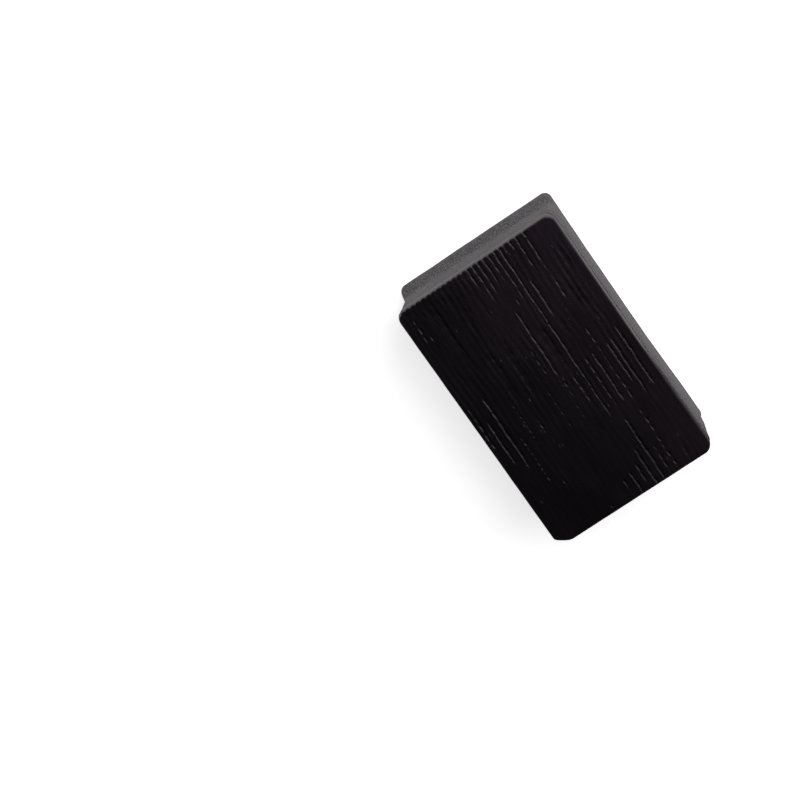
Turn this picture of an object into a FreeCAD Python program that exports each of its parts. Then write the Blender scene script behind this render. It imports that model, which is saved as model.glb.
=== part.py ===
import FreeCAD, Part
import os
import Sketcher

# A clay block for car paint: a soft grip block of foam with a pad of detailing clay bonded to it.
# It lies on its foam back. X runs along the block, Y across it and Z up to the clay face.
# The origin is the centre of the flat back.

doc = FreeCAD.newDocument("clay_block")

# Driving dimensions in millimetres: alias, value and meaning.
# An inset is how far a surface of the foam stands inside the clay pad's outline.
DIMENSIONS = [
    ("block_length", 90.0, "length of the clay pad along X"),
    ("block_width", 57.0, "width of the clay pad along Y"),
    ("block_height", 35.0, "height from the back to the clay face"),
    ("clay_thickness", 4.0, "thickness of the clay pad"),
    ("film_thickness", 0.2, "thickness of the adhesive film"),
    ("flange_height", 2.0, "height of the straight part of the foam's ends"),
    ("waist_height", 6.8, "height of the finger groove across each end"),
    ("flange_inset", 0.0, "inset of the foam's ends below the groove"),
    ("waist_inset", 2.4, "inset of the foam's ends at the groove"),
    ("top_inset", 0.4, "inset of the foam's ends where they meet the clay"),
    ("side_inset", 0.0, "inset of the foam's long sides"),
    ("film_inset", 1.2, "inset of the adhesive film"),
    ("clay_corner", 3.2, "vertical corner radius of the clay pad and the film"),
    ("foam_corner", 2.4, "vertical corner radius of the foam"),
    ("flange_round", 4.0, "rounding above the straight part of the ends"),
    ("waist_round", 6.0, "rounding at the bottom of the groove"),
    ("back_round", 0.8, "rounding of the edge round the back"),
    ("top_round", 0.5, "rounding of the foam's edge below the clay"),
    ("clay_face_round", 0.4, "rounding of the edge round the clay face"),
    ("clay_seam_round", 0.5, "rounding of the clay's edge above the seam"),
]
FLAT = 0.01  # an edge that spans less than this in Z lies level

sizes = doc.addObject("Spreadsheet::Sheet", "sizes")
for row, (alias, value, meaning) in enumerate(DIMENSIONS, start=1):
    sizes.set(f"A{row}", meaning)
    sizes.set(f"B{row}", str(value))
    sizes.setAlias(f"B{row}", alias)
doc.recompute()

CLAY_BOTTOM = "sizes.block_height - sizes.clay_thickness"
FOAM_TOP = "sizes.block_height - sizes.clay_thickness - sizes.film_thickness"


def make_body(name):
    """An empty body whose label is the node's name."""
    body = doc.addObject("PartDesign::Body", name)
    body.Label = name
    body.Placement = FreeCAD.Placement()
    return body


def make_sketch(body, name, plane_role):
    """An empty sketch on one of the body's own origin planes."""
    plane = next(item for item in body.Origin.OriginFeatures if item.Role == plane_role)
    sketch = body.newObject("Sketcher::SketchObject", name)
    sketch.AttachmentSupport = [(plane, "")]
    sketch.MapMode = "FlatFace"
    return sketch


def constrain(sketch, label, constraint, expression):
    """Add a dimension and bind it to the sheet."""
    index = sketch.addConstraint(constraint)
    sketch.renameConstraint(index, label)
    sketch.setExpression(f"Constraints.{label}", expression)


def solve(sketch):
    doc.recompute()
    if sketch.solve() != 0:
        raise RuntimeError(f"the sketch {sketch.Name} doesn't solve")


def rounded_rectangle(body, name, height, inset, corner):
    """A level rounded rectangle about the Z axis, inset from the clay pad's outline."""
    sketch = make_sketch(body, name, "XY_Plane")
    sketch.setExpression("AttachmentOffset.Base.z", height)
    half_x = sizes.get("block_length") / 2
    half_y = sizes.get("block_width") / 2
    radius = sizes.get("clay_corner")
    quarter = FreeCAD.Units.Quantity("90 deg").getValueAs("rad").Value
    for turn, (sign_x, sign_y) in enumerate([(1, 1), (-1, 1), (-1, -1), (1, -1)]):
        centre = FreeCAD.Vector(sign_x * (half_x - radius), sign_y * (half_y - radius), 0)
        circle = Part.Circle(centre, FreeCAD.Vector(0, 0, 1), radius)
        sketch.addGeometry(Part.ArcOfCircle(circle, turn * quarter, (turn + 1) * quarter))
    for turn in range(4):
        start = sketch.getPoint(turn, 2)
        end = sketch.getPoint((turn + 1) % 4, 1)
        sketch.addGeometry(Part.LineSegment(start, end))
    for turn in range(4):
        line = 4 + turn
        sketch.addConstraint(Sketcher.Constraint("Tangent", turn, 2, line, 1))
        sketch.addConstraint(Sketcher.Constraint("Tangent", line, 2, (turn + 1) % 4, 1))
        sketch.addConstraint(Sketcher.Constraint("Horizontal" if turn % 2 == 0 else "Vertical", line))
    for turn in range(1, 4):
        sketch.addConstraint(Sketcher.Constraint("Equal", 0, turn))
    sketch.addConstraint(Sketcher.Constraint("Symmetric", 0, 3, 2, 3, -1, 1))
    constrain(sketch, "length", Sketcher.Constraint("DistanceX", 5, 1, 7, 1, 2 * half_x),
              f"sizes.block_length - 2 * {inset}")
    constrain(sketch, "width", Sketcher.Constraint("DistanceY", 6, 1, 4, 1, 2 * half_y),
              f"sizes.block_width - 2 * {inset}")
    constrain(sketch, "corner", Sketcher.Constraint("Radius", 0, radius), corner)
    solve(sketch)
    return sketch


def foam_side_view(body):
    """The foam seen along Y: straight flanges at the back, a groove in each end, then a flare."""
    sketch = make_sketch(body, "side_view", "XZ_Plane")
    half = sizes.get("block_length") / 2
    top = sizes.get("block_height") - sizes.get("clay_thickness") - sizes.get("film_thickness")
    heights = [0.0, sizes.get("flange_height"), sizes.get("waist_height"), top]
    insets = [sizes.get(alias) for alias in ("flange_inset", "flange_inset", "waist_inset", "top_inset")]
    right = [FreeCAD.Vector(half - inset, height, 0) for inset, height in zip(insets, heights)]
    left = [FreeCAD.Vector(-point.x, point.y, 0) for point in reversed(right)]
    corners = right + left
    for number, start in enumerate(corners):
        sketch.addGeometry(Part.LineSegment(start, corners[(number + 1) % len(corners)]))
    for number in range(len(corners)):
        sketch.addConstraint(
            Sketcher.Constraint("Coincident", number, 2, (number + 1) % len(corners), 1))
    for number in range(len(right)):
        mirrored = len(corners) - 1 - number
        sketch.addConstraint(Sketcher.Constraint("Symmetric", number, 1, mirrored, 1, -2))
    sketch.addConstraint(Sketcher.Constraint("PointOnObject", 0, 1, -1))

    insets_by_name = [("flange_half", 1, "sizes.flange_inset"), ("waist_half", 2, "sizes.waist_inset"),
                      ("top_half", 3, "sizes.top_inset")]
    for label, corner, inset in insets_by_name:
        distance = Sketcher.Constraint("DistanceX", -1, 1, corner, 1, corners[corner].x)
        constrain(sketch, label, distance, f"sizes.block_length / 2 - {inset}")
    sketch.addConstraint(Sketcher.Constraint("Vertical", 0))
    heights_by_name = [("flange_level", 1, "sizes.flange_height"), ("waist_level", 2, "sizes.waist_height"),
                       ("top_level", 3, FOAM_TOP)]
    for label, corner, height in heights_by_name:
        distance = Sketcher.Constraint("DistanceY", -1, 1, corner, 1, corners[corner].y)
        constrain(sketch, label, distance, height)
    solve(sketch)
    return sketch


def level_edges(feature, height):
    """Names of the edges that lie level at a height."""
    names = []
    for number, edge in enumerate(feature.Shape.Edges, start=1):
        box = edge.BoundBox
        if abs(box.ZMin - height) < FLAT and abs(box.ZMax - height) < FLAT:
            names.append(f"Edge{number}")
    return names


def corner_edges(feature):
    """Names of the edges that climb the four corners of the foam."""
    half_width = feature.Shape.BoundBox.YMax
    names = []
    for number, edge in enumerate(feature.Shape.Edges, start=1):
        box = edge.BoundBox
        on_side = abs(abs(box.Center.y) - half_width) < FLAT and box.YLength < FLAT
        if on_side and box.ZLength > FLAT:
            names.append(f"Edge{number}")
    return names


def round_edges(body, base, names, radius, name):
    """Round the named edges of a feature."""
    if not names:
        raise RuntimeError(f"{name} found no edges")
    fillet = body.newObject("PartDesign::Fillet", name)
    fillet.Base = (base, names)
    fillet.setExpression("Radius", radius)
    doc.recompute()
    return fillet


def make_foam():
    """The grip block, with a finger groove across each end."""
    body = make_body("foam_grip_block")
    block = body.newObject("PartDesign::Pad", "foam_slab")
    block.Profile = foam_side_view(body)
    block.Midplane = True
    block.setExpression("Length", "sizes.block_width - 2 * sizes.side_inset")
    doc.recompute()
    flange_height = sizes.get("flange_height")
    waist_height = sizes.get("waist_height")
    top_height = block.Shape.BoundBox.ZMax
    shape = round_edges(body, block, level_edges(block, flange_height), "sizes.flange_round", "flange_edges")
    shape = round_edges(body, shape, level_edges(shape, waist_height), "sizes.waist_round", "groove_bottoms")
    shape = round_edges(body, shape, corner_edges(shape), "sizes.foam_corner", "corners")
    shape = round_edges(body, shape, level_edges(shape, 0.0), "sizes.back_round", "back_edge")
    round_edges(body, shape, level_edges(shape, top_height), "sizes.top_round", "top_edge")
    return body


def make_film():
    """The adhesive film between the foam and the clay, inset so that it stays hidden."""
    body = make_body("adhesive_film")
    pad = body.newObject("PartDesign::Pad", "film_pad")
    pad.Profile = rounded_rectangle(body, "film_outline", FOAM_TOP, "sizes.film_inset", "sizes.clay_corner")
    pad.setExpression("Length", "sizes.film_thickness")
    doc.recompute()
    return body


def make_clay():
    """The clay pad, whose top is the working face."""
    body = make_body("clay_pad")
    slab = body.newObject("PartDesign::Pad", "clay_slab")
    slab.Profile = rounded_rectangle(body, "clay_outline", CLAY_BOTTOM, "0", "sizes.clay_corner")
    slab.setExpression("Length", "sizes.clay_thickness")
    doc.recompute()
    face_height = sizes.get("block_height")
    seam_height = face_height - sizes.get("clay_thickness")
    shape = round_edges(body, slab, level_edges(slab, face_height), "sizes.clay_face_round", "face_edge")
    round_edges(body, shape, level_edges(shape, seam_height), "sizes.clay_seam_round", "seam_edge")
    return body


sub_parts = [make_foam(), make_film(), make_clay()]
doc.recompute()

for item in doc.Objects:
    if "Invalid" in item.State or "Error" in item.State:
        raise RuntimeError(f"{item.Label} failed: {item.State}")

os.makedirs("parts", exist_ok=True)
for part in sub_parts:
    shape = part.Shape
    if shape.isNull() or not shape.isValid() or len(shape.Solids) != 1:
        raise RuntimeError(f"{part.Label} isn't one valid solid")
    box = shape.BoundBox
    print(f"{part.Label}: {box.XLength:.2f} x {box.YLength:.2f} x {box.ZLength:.2f} mm,"
          f" from z {box.ZMin:.2f}, {shape.Volume / 1000:.2f} cm3")
    shape.exportStep(f"parts/{part.Label}.step")
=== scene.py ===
import math
from collections import namedtuple

import bpy
import numpy as np
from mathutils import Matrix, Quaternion, Vector, noise


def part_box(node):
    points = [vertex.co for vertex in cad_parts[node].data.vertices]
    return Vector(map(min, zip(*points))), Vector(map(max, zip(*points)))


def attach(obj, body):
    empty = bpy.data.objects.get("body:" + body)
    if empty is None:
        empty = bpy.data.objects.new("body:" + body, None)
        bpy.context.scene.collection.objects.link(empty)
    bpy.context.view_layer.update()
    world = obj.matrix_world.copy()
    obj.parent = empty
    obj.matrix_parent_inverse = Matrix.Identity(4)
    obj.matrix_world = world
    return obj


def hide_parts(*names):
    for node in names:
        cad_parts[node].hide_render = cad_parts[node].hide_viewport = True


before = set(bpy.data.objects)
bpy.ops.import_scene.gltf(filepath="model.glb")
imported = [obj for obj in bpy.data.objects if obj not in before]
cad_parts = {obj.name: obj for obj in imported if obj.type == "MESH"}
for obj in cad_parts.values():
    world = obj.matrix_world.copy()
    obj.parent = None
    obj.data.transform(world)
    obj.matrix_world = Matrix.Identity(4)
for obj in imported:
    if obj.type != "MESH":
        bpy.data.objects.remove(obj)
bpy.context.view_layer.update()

MM = 0.001
BODY = "root"

# The block's own sizes, in millimetres, read from the frame.
foam_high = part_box("foam_grip_block")[1] / MM
clay_low, clay_high = (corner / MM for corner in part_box("clay_pad"))
HALF_X = clay_high.x
HALF_Y = clay_high.y
CLAY_FACE = clay_high.z
CLAY_SEAM = clay_low.z
FOAM_TOP = foam_high.z


# ---------------------------------------------------------------- shape helpers

def smooth(value):
    """0 below 0, 1 above 1, and a smooth step between."""
    t = np.clip(value, 0.0, 1.0)
    return t * t * (3.0 - 2.0 * t)


def wander(along, wavelength, rng):
    """A smooth random curve of about -1 to 1, sampled at the places along a line."""
    total = np.zeros_like(along)
    for stretch, weight in ((1.0, 0.6), (0.47, 0.3), (0.21, 0.16)):
        phase = rng.uniform(0.0, 2.0 * math.pi)
        total += weight * np.sin(2.0 * math.pi * along / (wavelength * stretch) + phase)
    return total


def solid_noise(points, size):
    """Perlin noise of about -1 to 1 at points in millimetres, with features of a size."""
    return np.array([noise.noise(Vector(point) / size) for point in points])


def graded_axis(half, spacing, edge_band, edge_spacing):
    """Places from -1 to 1 across a side, closer together in a band at both ends."""
    edge_steps = round(edge_band / edge_spacing)
    middle_steps = round(2.0 * (half - edge_band) / spacing)
    edge = np.linspace(half - edge_band, half, edge_steps + 1)[1:]
    middle = np.linspace(-(half - edge_band), half - edge_band, middle_steps + 1)
    return np.concatenate([-edge[::-1], middle, edge]) / half


def in_rounded_rectangle(u, v, half_x, half_y, radius):
    """Where points of the square from -1 to 1 land in a rounded rectangle."""
    x, y = np.abs(u) * half_x, np.abs(v) * half_y
    core_x, core_y = half_x - radius, half_y - radius
    s = np.clip((x - core_x) / radius, 0.0, 1.0)
    t = np.clip((y - core_y) / radius, 0.0, 1.0)
    corner = (s > 0.0) & (t > 0.0)
    reach = np.maximum(s, t)
    share = np.minimum(s, t) / np.where(reach > 0.0, reach, 1.0)
    angle = np.where(s >= t, share, 2.0 - share) * math.pi / 4.0
    x = np.where(corner, core_x + radius * reach * np.cos(angle), x)
    y = np.where(corner, core_y + radius * reach * np.sin(angle), y)
    return np.sign(u) * x, np.sign(v) * y


def outward(x, y, half_x, half_y, radius):
    """Unit directions that point out of a rounded rectangle from points on its outline."""
    dx = np.sign(x) * np.clip(np.abs(x) - (half_x - radius), 0.0, None)
    dy = np.sign(y) * np.clip(np.abs(y) - (half_y - radius), 0.0, None)
    length = np.hypot(dx, dy)
    return dx / length, dy / length


def loop_of(columns, rows):
    """Indices of the outline of a grid of vertices, anticlockwise."""
    bottom = [(i, 0) for i in range(columns)]
    right = [(columns - 1, j) for j in range(1, rows)]
    top = [(i, rows - 1) for i in range(columns - 2, -1, -1)]
    left = [(0, j) for j in range(rows - 2, 0, -1)]
    return np.array([i * rows + j for i, j in bottom + right + top + left])


def grid_faces(columns, rows, first, upward):
    """Quads of a grid of vertices."""
    faces = []
    for i in range(columns - 1):
        for j in range(rows - 1):
            a = first + i * rows + j
            quad = (a, a + rows, a + rows + 1, a + 1)
            faces.append(quad if upward else quad[::-1])
    return faces


def ring_faces(lower, upper):
    """Quads between two loops of vertices, the lower one first."""
    count = len(lower)
    return [
        (lower[k], lower[(k + 1) % count], upper[(k + 1) % count], upper[k])
        for k in range(count)
    ]


def make_piece(name, points, faces, layers=None):
    """A smooth-shaded mesh object from points in millimetres, with float values for each vertex."""
    mesh = bpy.data.meshes.new(name)
    mesh.from_pydata((np.asarray(points) * MM).tolist(), [], faces)
    mesh.polygons.foreach_set("use_smooth", [True] * len(mesh.polygons))
    for layer, values in (layers or {}).items():
        attribute = mesh.attributes.new(layer, "FLOAT", "POINT")
        attribute.data.foreach_set("value", np.asarray(values, np.float32))
    mesh.validate()
    mesh.update()
    piece = bpy.data.objects.new(name, mesh)
    bpy.context.scene.collection.objects.link(piece)
    return piece


# ---------------------------------------------------------------- foam grip block

FOAM_CORNER = 2.4
BACK_ROUND = 0.8
TOP_ROUND = 0.5
FOAM_SPACING = 0.55
FOAM_EDGE_BAND = 3.0
FOAM_EDGE_SPACING = 0.4
LIP_HEIGHT = 2.0
WAIST_HEIGHT = 6.8
WAIST_DEPTH = 2.4
TOP_INSET = 0.4
FOLD_SOFTNESS = 1.2
SIDE_BOW = 0.25
FOAM_SWELL = 0.25
SWELL_HEIGHT = 18.0
SWELL_SPREAD = 8.0
STANDS_IN = 0.6
STANDS_OUT = 0.35


def foam_end_inset(z):
    """How far the foam's ends stand inside the clay's outline at a height."""
    heights = [0.0, LIP_HEIGHT, WAIST_HEIGHT, FOAM_TOP]
    insets = [0.0, 0.0, WAIST_DEPTH, TOP_INSET]
    spread = np.linspace(-FOLD_SOFTNESS, FOLD_SOFTNESS, 13)
    return float(np.mean(np.interp(z + spread, heights, insets)))


def foam_side_shift(x, y, z):
    """How far the long sides stand off their plane.

    They bow inwards in mid-length, most at the back, and swell at mid-height. The foam also sits off-centre:
    it stands out along the -Y side and in towards the +X, +Y corner.
    """
    bow = SIDE_BOW * (1.0 - (x / HALF_X) ** 2) * (1.0 - z / FOAM_TOP)
    swell = FOAM_SWELL * math.exp(-((z - SWELL_HEIGHT) / SWELL_SPREAD) ** 2)
    inwards = STANDS_IN * smooth(x / HALF_X) * smooth(y / HALF_Y)
    outwards = STANDS_OUT * smooth(-2.0 * y / HALF_Y)
    return (swell - bow) * np.abs(y) / HALF_Y + (outwards - inwards)


def build_foam():
    """The foam block: a rounded slab with pinched ends, and a surface that is never quite even."""
    u = graded_axis(HALF_X, FOAM_SPACING, FOAM_EDGE_BAND, FOAM_EDGE_SPACING)
    v = graded_axis(HALF_Y, FOAM_SPACING, FOAM_EDGE_BAND, FOAM_EDGE_SPACING)
    columns, rows = len(u), len(v)
    grid_u, grid_v = (axis.ravel() for axis in np.meshgrid(u, v, indexing="ij"))
    loop = loop_of(columns, rows)
    loop_u, loop_v = grid_u[loop], grid_v[loop]

    levels = []
    for angle in np.linspace(0.0, math.pi / 2.0, 5):
        levels.append((BACK_ROUND * (1.0 - math.cos(angle)), BACK_ROUND * (1.0 - math.sin(angle))))
    wall = np.arange(BACK_ROUND + FOAM_SPACING, FOAM_TOP - TOP_ROUND, FOAM_SPACING)
    levels += [(height, 0.0) for height in wall]
    for angle in np.linspace(0.0, math.pi / 2.0, 4):
        drop = TOP_ROUND * (1.0 - math.sin(angle))
        levels.append((FOAM_TOP - drop, TOP_ROUND * (1.0 - math.cos(angle))))

    points = []
    faces = []

    def outline(height, inset, su, sv):
        end = foam_end_inset(height) + inset
        x, y = in_rounded_rectangle(su, sv, HALF_X - end, HALF_Y - inset, FOAM_CORNER - inset * 0.5)
        y += np.sign(y) * foam_side_shift(x, y, height)
        return x, y

    first_height, first_inset = levels[0]
    x, y = outline(first_height, first_inset, grid_u, grid_v)
    points.append(np.stack([x, y, np.full_like(x, first_height)], 1))
    faces += grid_faces(columns, rows, 0, upward=False)

    lower = loop
    total = columns * rows
    for height, inset in levels[1:-1]:
        x, y = outline(height, inset, loop_u, loop_v)
        ring = np.stack([x, y, np.full_like(x, height)], 1)
        end = foam_end_inset(height) + inset
        nx, ny = outward(x, y, HALF_X - end, HALF_Y - inset, FOAM_CORNER)
        swell = 0.10 * solid_noise(ring, 9.0) + 0.015 * solid_noise(ring + 50.0, 2.5)
        ring[:, 0] += nx * swell
        ring[:, 1] += ny * swell
        points.append(ring)
        upper = np.arange(total, total + len(loop))
        faces += ring_faces(lower, upper)
        lower = upper
        total += len(loop)

    last_height, last_inset = levels[-1]
    x, y = outline(last_height, last_inset, grid_u, grid_v)
    points.append(np.stack([x, y, np.full_like(x, last_height)], 1))
    faces += grid_faces(columns, rows, total, upward=True)
    faces += ring_faces(lower, loop + total)
    return make_piece("foam_grip_block_looks", settle(np.concatenate(points)), faces)


# ---------------------------------------------------------------- clay pad

CLAY_CORNER = 3.2
FACE_ROUND = 0.4
SEAM_ROUND = 0.3
GRAIN_DRIFT = 0.018
GRAIN_SEED = 23
GROOVE_PLACE = 0.3  # a groove is deepest this far to the -Y side of its streak's place
LOBE_PITCH = 1.95
LOBE_DEPTH = 0.5
SPECKS = 26
FACE_DROP = 0.06
SIDE_SWELL = 0.25
GRID_ALONG = 0.58
GRID_ACROSS = 0.12

# The soft block's set, in millimetres. It was stood on the corner that lies towards CORNER_X, CORNER_Y.
END_LEAN = 0.45
END_SHIFT = 0.40
CORNER_X, CORNER_Y = -0.826, 0.563
CORNER_REACH = 50.35
CORNER_SOFTNESS = 0.9

# The clay's grain runs along X. Each streak is a groove, given by where it starts and ends along X and its
# place across Y, in millimetres. The streaks of a family share the rest: their depth in millimetres; about
# what share of them is missing (broken); over what length they come and go (gap); how steep their +Y wall
# is, from 1 for one that catches the light to 0 for a soft hollow (wall); and how light its painted
# highlight is (shine).
Streaks = namedtuple("Streaks", "lines depth broken gap wall shine")
GRAIN = [
    # cut in from the +X end, where each one notches the edge
    Streaks([(46, 30, -18.1), (46, 30, -15.2), (46, 40, -13.0), (46, 42, -10.9), (46, 24, -7.3),
             (46, 34, -5.4), (46, 33, -3.4), (46, 31, -1.4), (46, 30, 0.5), (46, 36, 2.4)],
            depth=0.11, broken=0.12, gap=5.0, wall=0.85, shine=0.6),
    Streaks([(46, 30 + 7 * math.sin(2.4 * place), place) for place in np.arange(4.3, 27.5, 1.9)],
            depth=0.075, broken=0.25, gap=4.0, wall=0.45, shine=0.3),
    # the longest, and the clear ones towards the -Y side
    Streaks([(46, -20, -9.3), (32, 17, -11.7), (26, 0, -2.4)],
            depth=0.15, broken=0.1, gap=4.0, wall=1.0, shine=0.8),
    Streaks([(5, -18, -25.1), (2, -19, -21.8), (2, -14, -20.1), (2, -18, -14.6)],
            depth=0.19, broken=0.06, gap=6.0, wall=1.0, shine=1.0),
    # dashes
    Streaks([(11, -20, -17.4), (3, -18, -11.9), (0, -13, -5.7), (31, 25, -4.9), (0, -8, -2.4),
             (15, 0, 0.5), (30, 18, -18.0), (10, -10, 26.9), (44, 31, 24.9)],
            depth=0.12, broken=0.42, gap=3.4, wall=0.9, shine=0.9),
    # towards the +Y side
    Streaks([(9, -19, 21.3), (2, -16, 24.5)],
            depth=0.18, broken=0.16, gap=3.5, wall=1.0, shine=1.0),
    # at the -X end
    Streaks([(-21, -46, -11.2), (-31, -46, -8.2), (-36, -46, -2.9), (-35, -43, -5.7), (-37, -42, 0.0)],
            depth=0.18, broken=0.08, gap=4.0, wall=1.0, shine=1.0),
    Streaks([(-30, -46, -16.2), (-20, -33, -16.6), (-41, -46, 7.7), (-33, -45, -13.6)],
            depth=0.15, broken=0.45, gap=3.0, wall=1.0, shine=1.0),
    # rows of dots
    Streaks([(2, -16, -1.6), (2, -16, 3.4), (2, -16, 14.8), (-7, -27, 18.5), (-6, -14, 11.2),
             (-38, -45, -20.6)],
            depth=0.13, broken=0.62, gap=1.9, wall=1.0, shine=1.0),
    # soft hollows that catch no light, their darkness mostly painted shade
    Streaks([(22, -2, 6.0), (23, -3, 11.5), (45, 15, 17.4), (20, 0, -6.2), (18, 8, -12.7)],
            depth=0.15, broken=0.0, gap=9.0, wall=0.0, shine=0.0),
    Streaks([(25, 17, 8.8), (6, 1, 14.0), (18, 12, 2.5), (23, 17, 20.2), (24, 15, 23.3), (38, 24, -24.9),
             (24, 13, -22.4), (27, 13, -20.6), (45, 35, 11.9), (-14, -24, -3.6), (-2, -10, 9.9),
             (-24, -36, 5.4), (-22, -31, 12.6)],
            depth=0.09, broken=0.1, gap=6.0, wall=0.0, shine=0.0),
]


def groove_profile(offset, wall):
    """Height across a groove of depth 1: it falls, then rises steeply (wall 1) or slowly (wall 0)."""
    fall_width, steep_width, slow_width = 0.45, 0.22, 2.1
    lip_place, lip_height, lip_near, lip_far = 0.16, 0.35, 0.13, 0.5
    fall = np.exp(-((offset + GROOVE_PLACE) / fall_width) ** 2)
    steep = np.exp(-((offset + GROOVE_PLACE) / steep_width) ** 2)
    slow = np.exp(-((offset + GROOVE_PLACE) / slow_width) ** 2)
    rise = wall * steep + (1.0 - wall) * slow
    valley = np.where(offset < -GROOVE_PLACE, fall, rise)
    lip = np.exp(-((offset - lip_place) / np.where(offset < lip_place, lip_near, lip_far)) ** 2)
    return lip_height * wall * lip - valley


def clay_relief(x, y):
    """The working face's height above its plane, its glint, a painted highlight, and its hollows, painted
    shade, at the points x, y.
    """
    rng = np.random.default_rng(GRAIN_SEED)
    height = np.zeros_like(x)
    glint = np.zeros_like(x)
    hollow = np.zeros_like(x)
    for family in GRAIN:
        for start, end, across in family.lines:
            centre = across - GRAIN_DRIFT * (x - start) + 0.13 * wander(x, 13.0, rng)
            fade = 2.0 + 4.0 * (1.0 - family.wall)
            presence = smooth((start - x) / fade) * smooth((x - end) / (fade + 1.0))
            gaps = 0.5 + 0.5 * wander(x, family.gap, rng)
            presence *= smooth((gaps - family.broken) / (0.2 + 0.8 * (1.0 - family.wall)) + 0.5)
            presence *= 0.72 + 0.4 * wander(x, 4.0, rng)
            deeper = 1.0 + 0.6 * smooth((x - HALF_X + 4.0) / 4.0)
            offset = y - centre
            near = np.abs(offset) < 3.0
            shape = np.where(near, groove_profile(offset, family.wall), 0.0)
            height += presence * family.depth * deeper * shape
            # Painted highlight: glint paints the crest of each streak light.
            crest = np.exp(-((offset - 0.02) / 0.16) ** 2)
            glint = np.maximum(glint, presence * family.shine * crest)
            # Painted shade: hollow paints the groove of each streak dark.
            shade = np.exp(-((offset + 0.4) / 0.36) ** 2)
            hollow = np.maximum(hollow, presence * (1.0 - 0.4 * family.wall) * shade)
    drift = y + GRAIN_DRIFT * x
    bands = np.sin(2.0 * math.pi * drift / LOBE_PITCH + 1.2 * wander(x, 37.0, rng))
    patch = solid_noise(np.stack([x * 0.25, y, np.zeros_like(x)], 1), 5.0)
    calm = smooth((x + 30.0) / 25.0) * (1.0 - smooth((x - 32.0) / 8.0) * smooth((-y - 15.0) / 6.0))
    height += 0.028 * bands * smooth(0.5 + patch) * (0.25 + 0.75 * calm)
    # Each speck is a small bump with a painted highlight (glint) on it.
    for _ in range(SPECKS):
        speck_x = rng.uniform(-0.95, 0.95) * HALF_X
        speck_y = rng.uniform(-0.95, 0.95) * HALF_Y
        dot = np.exp(-((x - speck_x) / 0.45) ** 2 - ((y - speck_y) / 0.2) ** 2)
        height += rng.uniform(0.05, 0.14) * dot
        glint = np.maximum(glint, 0.9 * dot)
    return height, glint, hollow


def end_lobes(y):
    """How far the +X edge stands back at a place across the block: cusps with round lobes between."""
    notches = np.array([across for family in GRAIN for start, _, across in family.lines if start > HALF_X])
    nearest = np.min(np.abs(y[:, None] - notches[None, :]), axis=1)
    lobe = 1.0 - np.clip(nearest / (0.5 * LOBE_PITCH), 0.0, 1.0)
    return LOBE_DEPTH * (1.0 - np.sqrt(1.0 - lobe ** 2))


def settle(points):
    """The soft block's set: its -X end leans out, and the corner that it was stood on is blunt."""
    x, y, z = points.T.copy()
    far = smooth(-x / HALF_X)
    x -= END_LEAN * far * z / CLAY_FACE
    y -= END_SHIFT * far * smooth(-y / HALF_Y)
    reach = CORNER_X * x + CORNER_Y * y
    over = np.clip(reach - CORNER_REACH, 0.0, None) * smooth(z / CLAY_FACE)
    blunt = over - CORNER_SOFTNESS * np.tanh(over / CORNER_SOFTNESS)
    x -= CORNER_X * blunt
    y -= CORNER_Y * blunt
    return np.stack([x, y, z], 1)


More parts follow.
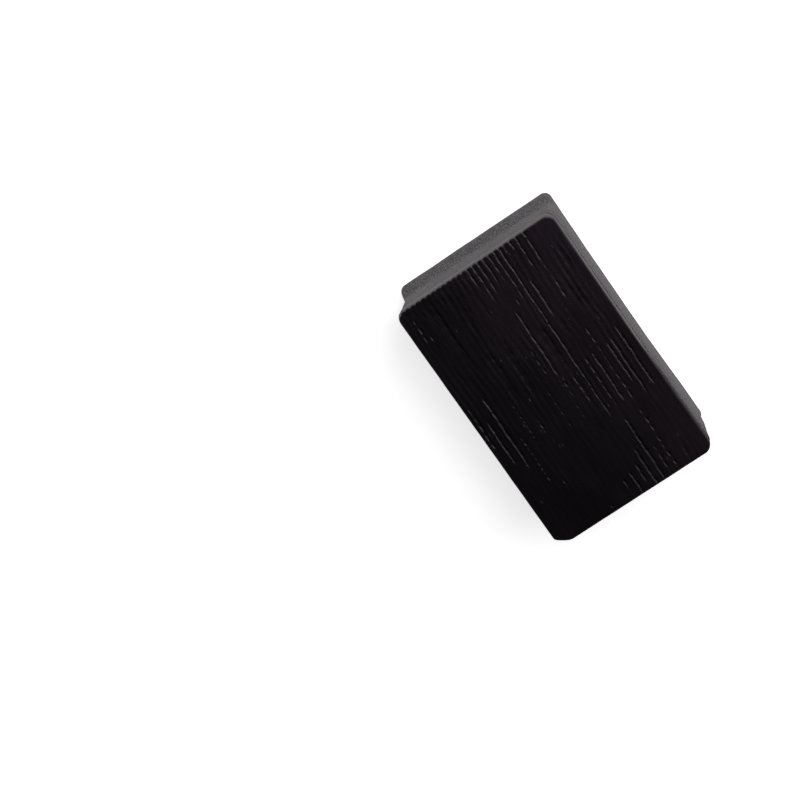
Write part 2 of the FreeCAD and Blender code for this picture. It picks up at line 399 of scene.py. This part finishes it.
def build_clay():
    """The clay pad: a fine grid for the grained face, then rings down its side to the seam.

    Each vertex holds four values of about 0 to 1 for the material: glint, how light a highlight is painted;
    hollow, how dark the painted shade is; side, how dull; and the fourth, how grey a reflection is painted
    on the sides.
    """
    u = graded_axis(HALF_X, GRID_ALONG, edge_band=2.0, edge_spacing=0.2)
    v = graded_axis(HALF_Y, GRID_ACROSS, edge_band=1.0, edge_spacing=GRID_ACROSS)
    columns, rows = len(u), len(v)
    grid_u, grid_v = (axis.ravel() for axis in np.meshgrid(u, v, indexing="ij"))
    loop = loop_of(columns, rows)
    loop_u, loop_v = grid_u[loop], grid_v[loop]

    flat_x, flat_y = HALF_X - FACE_ROUND, HALF_Y - FACE_ROUND
    x, y = in_rounded_rectangle(grid_u, grid_v, flat_x, flat_y, CLAY_CORNER - FACE_ROUND)
    height, glint, hollow = clay_relief(x, y)
    on_plane = np.stack([x, y, np.zeros_like(x)], 1)
    height += 0.05 * solid_noise(on_plane, 14.0)
    height += 0.02 * solid_noise(on_plane * np.array([0.16, 1.0, 1.0]), 1.15)
    height += 0.012 * solid_noise(on_plane * np.array([0.6, 1.0, 1.0]), 0.7)
    points = [np.stack([x, y, CLAY_FACE - FACE_DROP + height], 1)]
    faces = grid_faces(columns, rows, 0, upward=True)
    glints, hollows, sides, painted_reflections = [glint], [hollow], [np.zeros_like(glint)], [np.zeros_like(glint)]

    levels = []
    for angle in np.linspace(0.0, math.pi / 2.0, 6)[1:]:
        drop = FACE_ROUND * (1.0 - math.cos(angle))
        levels.append((CLAY_FACE - drop, FACE_ROUND * (1.0 - math.sin(angle))))
    wall_top, wall_bottom = CLAY_FACE - FACE_ROUND, CLAY_SEAM + SEAM_ROUND
    levels += [(level, 0.0) for level in np.linspace(wall_top, wall_bottom, 5)[1:]]
    for angle in np.linspace(0.0, math.pi / 2.0, 4)[1:]:
        levels.append((wall_bottom - SEAM_ROUND * math.sin(angle), SEAM_ROUND * (1.0 - math.cos(angle))))

    upper = loop
    total = columns * rows
    for level, inset in levels:
        share = (level - CLAY_SEAM) / (CLAY_FACE - CLAY_SEAM)
        half_x, half_y, radius = HALF_X - inset, HALF_Y - inset, CLAY_CORNER - inset
        x, y = in_rounded_rectangle(loop_u, loop_v, half_x, half_y, radius)
        nx, ny = outward(x, y, half_x, half_y, radius)
        ring = np.stack([x, y, level + (height[loop] - FACE_DROP) * smooth(share)], 1)
        swell = SIDE_SWELL * math.sin(math.pi * share) ** 2 + 0.05 * solid_noise(ring, 5.0)
        ring[:, 0] += nx * swell
        ring[:, 1] += ny * swell
        points.append(ring)
        glints.append(glint[loop] * smooth(share))
        hollows.append(hollow[loop] * smooth(share))
        below_rim = 1.0 - inset / FACE_ROUND if share > 0.5 else 1.0
        black_end = smooth((-6.0 - x) / 10.0) * smooth(-y / HALF_Y)
        sides.append(below_rim * (0.45 + 0.55 * black_end))
        # Painted reflection: the side near the +X end and along the -Y side is painted grey, as the light it
        # reflects.
        reflecting_side = smooth((x + 10.0) / 8.0) * smooth((-y - HALF_Y + 3.0) / 2.0)
        painted_reflections.append(below_rim * np.maximum(smooth((x - HALF_X + 3.0) / 2.0), 0.75 * reflecting_side))
        lower = np.arange(total, total + len(loop))
        faces += ring_faces(lower, upper)
        upper = lower
        total += len(loop)
    faces.append(tuple(int(k) for k in upper[::-1]))

    points = np.concatenate(points)
    x, y, z = points.T
    near_end = smooth((x - HALF_X + 3.0) / 2.5) * smooth((z - CLAY_SEAM) / 3.0)
    x -= end_lobes(y) * near_end
    layers = {"glint": glints, "hollow": hollows, "side": sides, "painted_reflection": painted_reflections}
    layers = {layer: np.concatenate(values) for layer, values in layers.items()}
    return make_piece("clay_pad_looks", settle(points), faces, layers)


# ---------------------------------------------------------------- materials

# The places of a Mix node's colour sockets, which share their names with its other sockets.
MIX_FIRST, MIX_SECOND, MIX_RESULT = 6, 7, 2


def new_material(name):
    """A material with a plain Principled shader. Returns it, its tree and the shader."""
    material = bpy.data.materials.new(name)
    material.use_nodes = True
    tree = material.node_tree
    return material, tree, tree.nodes["Principled BSDF"]


def add(tree, kind, settings=None, inputs=None):
    """A node with its settings and its input values."""
    node = tree.nodes.new(kind)
    for key, value in (settings or {}).items():
        setattr(node, key, value)
    for key, value in (inputs or {}).items():
        node.inputs[key].default_value = value
    return node


def ramp(tree, source, stops):
    """A colour ramp fed by a socket. Each stop is a place and a grey value or a colour."""
    node = add(tree, "ShaderNodeValToRGB")
    elements = node.color_ramp.elements
    while len(elements) < len(stops):
        elements.new(0.5)
    for element, (place, colour) in zip(elements, stops):
        element.position = place
        element.color = (*colour, 1.0) if isinstance(colour, tuple) else (colour, colour, colour, 1.0)
    tree.links.new(source, node.inputs["Fac"])
    return node.outputs["Color"]


def mapped(tree, scale):
    """Object coordinates in metres, scaled."""
    coordinates = add(tree, "ShaderNodeTexCoord")
    mapping = add(tree, "ShaderNodeMapping", inputs={"Scale": scale})
    tree.links.new(coordinates.outputs["Object"], mapping.inputs["Vector"])
    return mapping.outputs["Vector"]


def mix(tree, factor, first, second, blend="MIX"):
    """A colour mix of two sockets or colours."""
    node = add(tree, "ShaderNodeMix", {"data_type": "RGBA", "blend_type": blend})
    sockets = (node.inputs["Factor"], node.inputs[MIX_FIRST], node.inputs[MIX_SECOND])
    for socket, value in zip(sockets, (factor, first, second)):
        if isinstance(value, bpy.types.NodeSocket):
            tree.links.new(value, socket)
        else:
            socket.default_value = value
    return node.outputs[MIX_RESULT]


def foam_material():
    """Charcoal foam: gritty grey with dark pores, a faint mottle and painted shade that deepens upwards,
    under the clay.
    """
    material, tree, shader = new_material("charcoal_foam")
    vector = mapped(tree, (1.0, 1.0, 0.85))
    cells = add(tree, "ShaderNodeTexVoronoi", {"feature": "F1"}, {"Scale": 3000.0, "Randomness": 1.0})
    pores = add(tree, "ShaderNodeTexVoronoi", {"feature": "F1"}, {"Scale": 2000.0, "Randomness": 1.0})
    grit = add(tree, "ShaderNodeTexNoise", inputs={"Scale": 2700.0, "Detail": 2.0, "Roughness": 0.6})
    mottle = add(tree, "ShaderNodeTexNoise", inputs={"Scale": 170.0, "Detail": 3.0, "Roughness": 0.6})
    tint = add(tree, "ShaderNodeTexNoise", inputs={"Scale": 650.0, "Detail": 2.0, "Roughness": 0.5})
    for node in (cells, pores, grit, mottle, tint):
        tree.links.new(vector, node.inputs["Vector"])
    grey = ramp(tree, grit.outputs["Fac"], [(0.39, (0.046, 0.044, 0.045)), (0.61, (0.162, 0.156, 0.160))])
    cloudy = ramp(tree, mottle.outputs["Fac"], [(0.35, 0.86), (0.65, 1.0)])
    warm = ramp(tree, tint.outputs["Fac"], [(0.38, (1.0, 0.955, 0.94)), (0.62, (0.955, 0.96, 1.0))])
    dark = ramp(tree, pores.outputs["Distance"], [(0.08, 0.68), (0.34, 1.0)])
    colour = mix(tree, 1.0, grey, cloudy, "MULTIPLY")
    colour = mix(tree, 1.0, colour, warm, "MULTIPLY")
    colour = mix(tree, 1.0, colour, dark, "MULTIPLY")
    # Painted shade: the foam is painted darker towards its top, where the clay above it shades it.
    height = add(tree, "ShaderNodeSeparateXYZ")
    tree.links.new(mapped(tree, (1.0, 1.0, 1.0 / (FOAM_TOP * MM))), height.inputs["Vector"])
    painted_shade = ramp(tree, height.outputs["Z"], [(0.5, 1.0), (0.75, 0.9), (1.0, 0.78)])
    colour = mix(tree, 1.0, colour, painted_shade, "MULTIPLY")
    tree.links.new(colour, shader.inputs["Base Color"])
    rough = ramp(tree, cells.outputs["Distance"], [(0.0, 0.86), (0.6, 0.98)])
    tree.links.new(rough, shader.inputs["Roughness"])
    fine = add(tree, "ShaderNodeBump", inputs={"Strength": 0.2, "Distance": 0.0001})
    tree.links.new(cells.outputs["Distance"], fine.inputs["Height"])
    coarse = add(tree, "ShaderNodeBump", inputs={"Strength": 0.15, "Distance": 0.00015})
    tree.links.new(dark, coarse.inputs["Height"])
    tree.links.new(fine.outputs["Normal"], coarse.inputs["Normal"])
    tree.links.new(coarse.outputs["Normal"], shader.inputs["Normal"])
    shader.inputs["Specular IOR Level"].default_value = 0.2
    return material


def clay_material():
    """Satin black polymer clay: highlights painted on the crests, shade painted in the hollows, a fine grain
    and a reflection painted grey on the sides.

    Its colour is painted palest towards the +X, -Y corner and darker across the face, as a painted sheen.
    """
    material, tree, shader = new_material("black_clay")
    glint = add(tree, "ShaderNodeAttribute", {"attribute_name": "glint"})
    hollow = add(tree, "ShaderNodeAttribute", {"attribute_name": "hollow"})
    grain = add(tree, "ShaderNodeTexNoise", inputs={"Scale": 1.0, "Detail": 5.0, "Roughness": 0.65})
    tree.links.new(mapped(tree, (130.0, 1300.0, 1300.0)), grain.inputs["Vector"])
    cloud = add(tree, "ShaderNodeTexNoise", inputs={"Scale": 70.0, "Detail": 3.0, "Roughness": 0.55})
    tree.links.new(mapped(tree, (0.5, 1.0, 1.0)), cloud.inputs["Vector"])
    blacks = [(0.3, (0.0052, 0.0030, 0.0056)), (0.7, (0.0108, 0.0066, 0.0110))]
    base = ramp(tree, grain.outputs["Fac"], blacks)
    cloudy = ramp(tree, cloud.outputs["Fac"], [(0.3, 0.6), (0.7, 1.0)])
    base = mix(tree, 1.0, base, cloudy, "MULTIPLY")
    # Painted light: the face is painted palest towards the +X, -Y corner and darker away from it, where a
    # sheen would fall.
    across = add(tree, "ShaderNodeVectorMath", {"operation": "DOT_PRODUCT"})
    across.inputs[1].default_value = (5.0, -12.0, 0.0)
    tree.links.new(mapped(tree, (1.0, 1.0, 1.0)), across.inputs[0])
    painted_light_falloff = add(tree, "ShaderNodeMath", {"operation": "ADD"})
    painted_light_falloff.inputs[1].default_value = 0.5
    tree.links.new(across.outputs["Value"], painted_light_falloff.inputs[0])
    base = mix(tree, 1.0, base, ramp(tree, painted_light_falloff.outputs[0], [(0.1, 0.10), (0.9, 1.0)]), "MULTIPLY")
    # Painted highlight: the crests are painted light grey.
    crest = ramp(tree, glint.outputs["Fac"], [(0.2, 0.0), (1.0, 1.0)])
    base = mix(tree, crest, base, (0.05, 0.046, 0.05, 1.0))
    # Painted shade: the grooves are painted nearly black.
    painted_groove_shade = ramp(tree, hollow.outputs["Fac"], [(0.05, 0.0), (0.55, 1.0)])
    base = mix(tree, painted_groove_shade, base, (0.0008, 0.0006, 0.0007, 1.0))
    # Painted reflection: the sides are painted grey, as the light they reflect.
    painted_reflection = add(tree, "ShaderNodeAttribute", {"attribute_name": "painted_reflection"})
    base = mix(tree, painted_reflection.outputs["Fac"], base, (0.040, 0.038, 0.038, 1.0))
    tree.links.new(base, shader.inputs["Base Color"])
    side = add(tree, "ShaderNodeAttribute", {"attribute_name": "side"})
    rough = ramp(tree, cloud.outputs["Fac"], [(0.3, 0.24), (0.7, 0.33)])
    rough = mix(tree, side.outputs["Fac"], rough, (0.85, 0.85, 0.85, 1.0))
    tree.links.new(rough, shader.inputs["Roughness"])
    bump = add(tree, "ShaderNodeBump", inputs={"Strength": 0.35, "Distance": 0.00005})
    tree.links.new(grain.outputs["Fac"], bump.inputs["Height"])
    tree.links.new(bump.outputs["Normal"], shader.inputs["Normal"])
    shader.inputs["Specular IOR Level"].default_value = 0.3
    shader.inputs["Specular Tint"].default_value = (1.0, 0.85, 0.95, 1.0)
    return material


def film_material():
    """The thin dark film in the seam, a little uneven."""
    material, tree, shader = new_material("adhesive")
    cloud = add(tree, "ShaderNodeTexNoise", inputs={"Scale": 400.0, "Detail": 3.0})
    tree.links.new(mapped(tree, (1.0, 1.0, 1.0)), cloud.inputs["Vector"])
    colour = ramp(tree, cloud.outputs["Fac"], [(0.3, 0.012), (0.7, 0.03)])
    tree.links.new(colour, shader.inputs["Base Color"])
    shader.inputs["Roughness"].default_value = 0.6
    return material


def floor_material():
    """A plain pale table that gives off light of its own, so that it stays nearly white."""
    material, tree, shader = new_material("pale_floor")
    cloud = add(tree, "ShaderNodeTexNoise", inputs={"Scale": 6.0, "Detail": 2.0})
    tree.links.new(mapped(tree, (1.0, 1.0, 1.0)), cloud.inputs["Vector"])
    colour = ramp(tree, cloud.outputs["Fac"], [(0.3, 0.83), (0.7, 0.86)])
    tree.links.new(colour, shader.inputs["Base Color"])
    shader.inputs["Roughness"].default_value = 0.8
    shader.inputs["Specular IOR Level"].default_value = 0.1
    shader.inputs["Emission Color"].default_value = (1.0, 1.0, 1.0, 1.0)
    shader.inputs["Emission Strength"].default_value = 0.68
    return material


def paint(piece, material):
    """Give a piece one material and no other."""
    piece.data.materials.clear()
    piece.data.materials.append(material)


# ---------------------------------------------------------------- studio

# The camera's direction and roll are in degrees, its distance in metres and its lens in millimetres. It aims
# at a point, in millimetres, that lies beside the block, so the block isn't in the middle of the picture.
CAMERA_AIM = (18.4, 45.4, 17.5)
CAMERA_AZIMUTH = 52.52
CAMERA_ELEVATION = 74.32
CAMERA_ROLL = -177.08
CAMERA_DISTANCE = 0.8818
CAMERA_LENS = 126.0
FLOOR_HALF = 6.0


def towards(azimuth, elevation):
    """Unit vector at an azimuth from the -Y side towards +X, and an elevation, in degrees."""
    a, e = math.radians(azimuth), math.radians(elevation)
    return Vector((math.sin(a) * math.cos(e), -math.cos(a) * math.cos(e), math.sin(e)))


def make_camera():
    """The camera looks down on the block, turned so that the +X end is at the top left."""
    aim = Vector(CAMERA_AIM) * MM
    back = towards(CAMERA_AZIMUTH, CAMERA_ELEVATION)
    data = bpy.data.cameras.new("camera")
    data.lens = CAMERA_LENS
    camera = bpy.data.objects.new("camera", data)
    camera.location = aim + back * CAMERA_DISTANCE
    camera.rotation_mode = "QUATERNION"
    roll = Quaternion((0.0, 0.0, 1.0), math.radians(CAMERA_ROLL))
    camera.rotation_quaternion = (-back).to_track_quat("-Z", "Y") @ roll
    bpy.context.scene.collection.objects.link(camera)
    bpy.context.scene.camera = camera


def make_softbox(name, azimuth, elevation, distance, size, power):
    """A square area light that faces the block."""
    data = bpy.data.lights.new(name, "AREA")
    data.size = size
    data.energy = power
    light = bpy.data.objects.new(name, data)
    back = towards(azimuth, elevation)
    light.location = back * distance
    light.rotation_mode = "QUATERNION"
    light.rotation_quaternion = (-back).to_track_quat("-Z", "Y")
    bpy.context.scene.collection.objects.link(light)


def make_world():
    """A pale horizon under a dark dome with a dim patch overhead, so that the black face stays black."""
    world = bpy.data.worlds.new("studio")
    world.use_nodes = True
    tree = world.node_tree
    background = tree.nodes["Background"]
    coordinates = add(tree, "ShaderNodeTexCoord")
    height = add(tree, "ShaderNodeSeparateXYZ")
    tree.links.new(coordinates.outputs["Generated"], height.inputs["Vector"])
    stops = [(0.0, 0.90), (0.10, 0.90), (0.26, 0.09), (0.45, 0.03), (0.80, 0.025), (0.93, 0.10)]
    colour = ramp(tree, height.outputs["Z"], stops)
    tree.links.new(colour, background.inputs["Color"])
    background.inputs["Strength"].default_value = 1.0
    bpy.context.scene.world = world


def make_floor():
    """A square floor under the block, which is only for the pictures."""
    mesh = bpy.data.meshes.new("floor")
    corners = [(x * FLOOR_HALF, y * FLOOR_HALF, 0.0) for x, y in ((-1, -1), (1, -1), (1, 1), (-1, 1))]
    mesh.from_pydata(corners, [], [(0, 1, 2, 3)])
    floor = bpy.data.objects.new("floor", mesh)
    bpy.context.scene.collection.objects.link(floor)
    paint(floor, floor_material())


# ---------------------------------------------------------------- build

bpy.context.scene.view_settings.view_transform = "Standard"
make_camera()
make_world()
make_floor()
make_softbox("key", azimuth=24.0, elevation=56.0, distance=0.9, size=0.75, power=6.1)
make_softbox("fill", azimuth=100.0, elevation=40.0, distance=1.1, size=0.9, power=1.6)

foam = build_foam()
paint(foam, foam_material())
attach(foam, BODY)
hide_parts("foam_grip_block")

clay = build_clay()
paint(clay, clay_material())
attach(clay, BODY)
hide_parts("clay_pad")

paint(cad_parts["adhesive_film"], film_material())
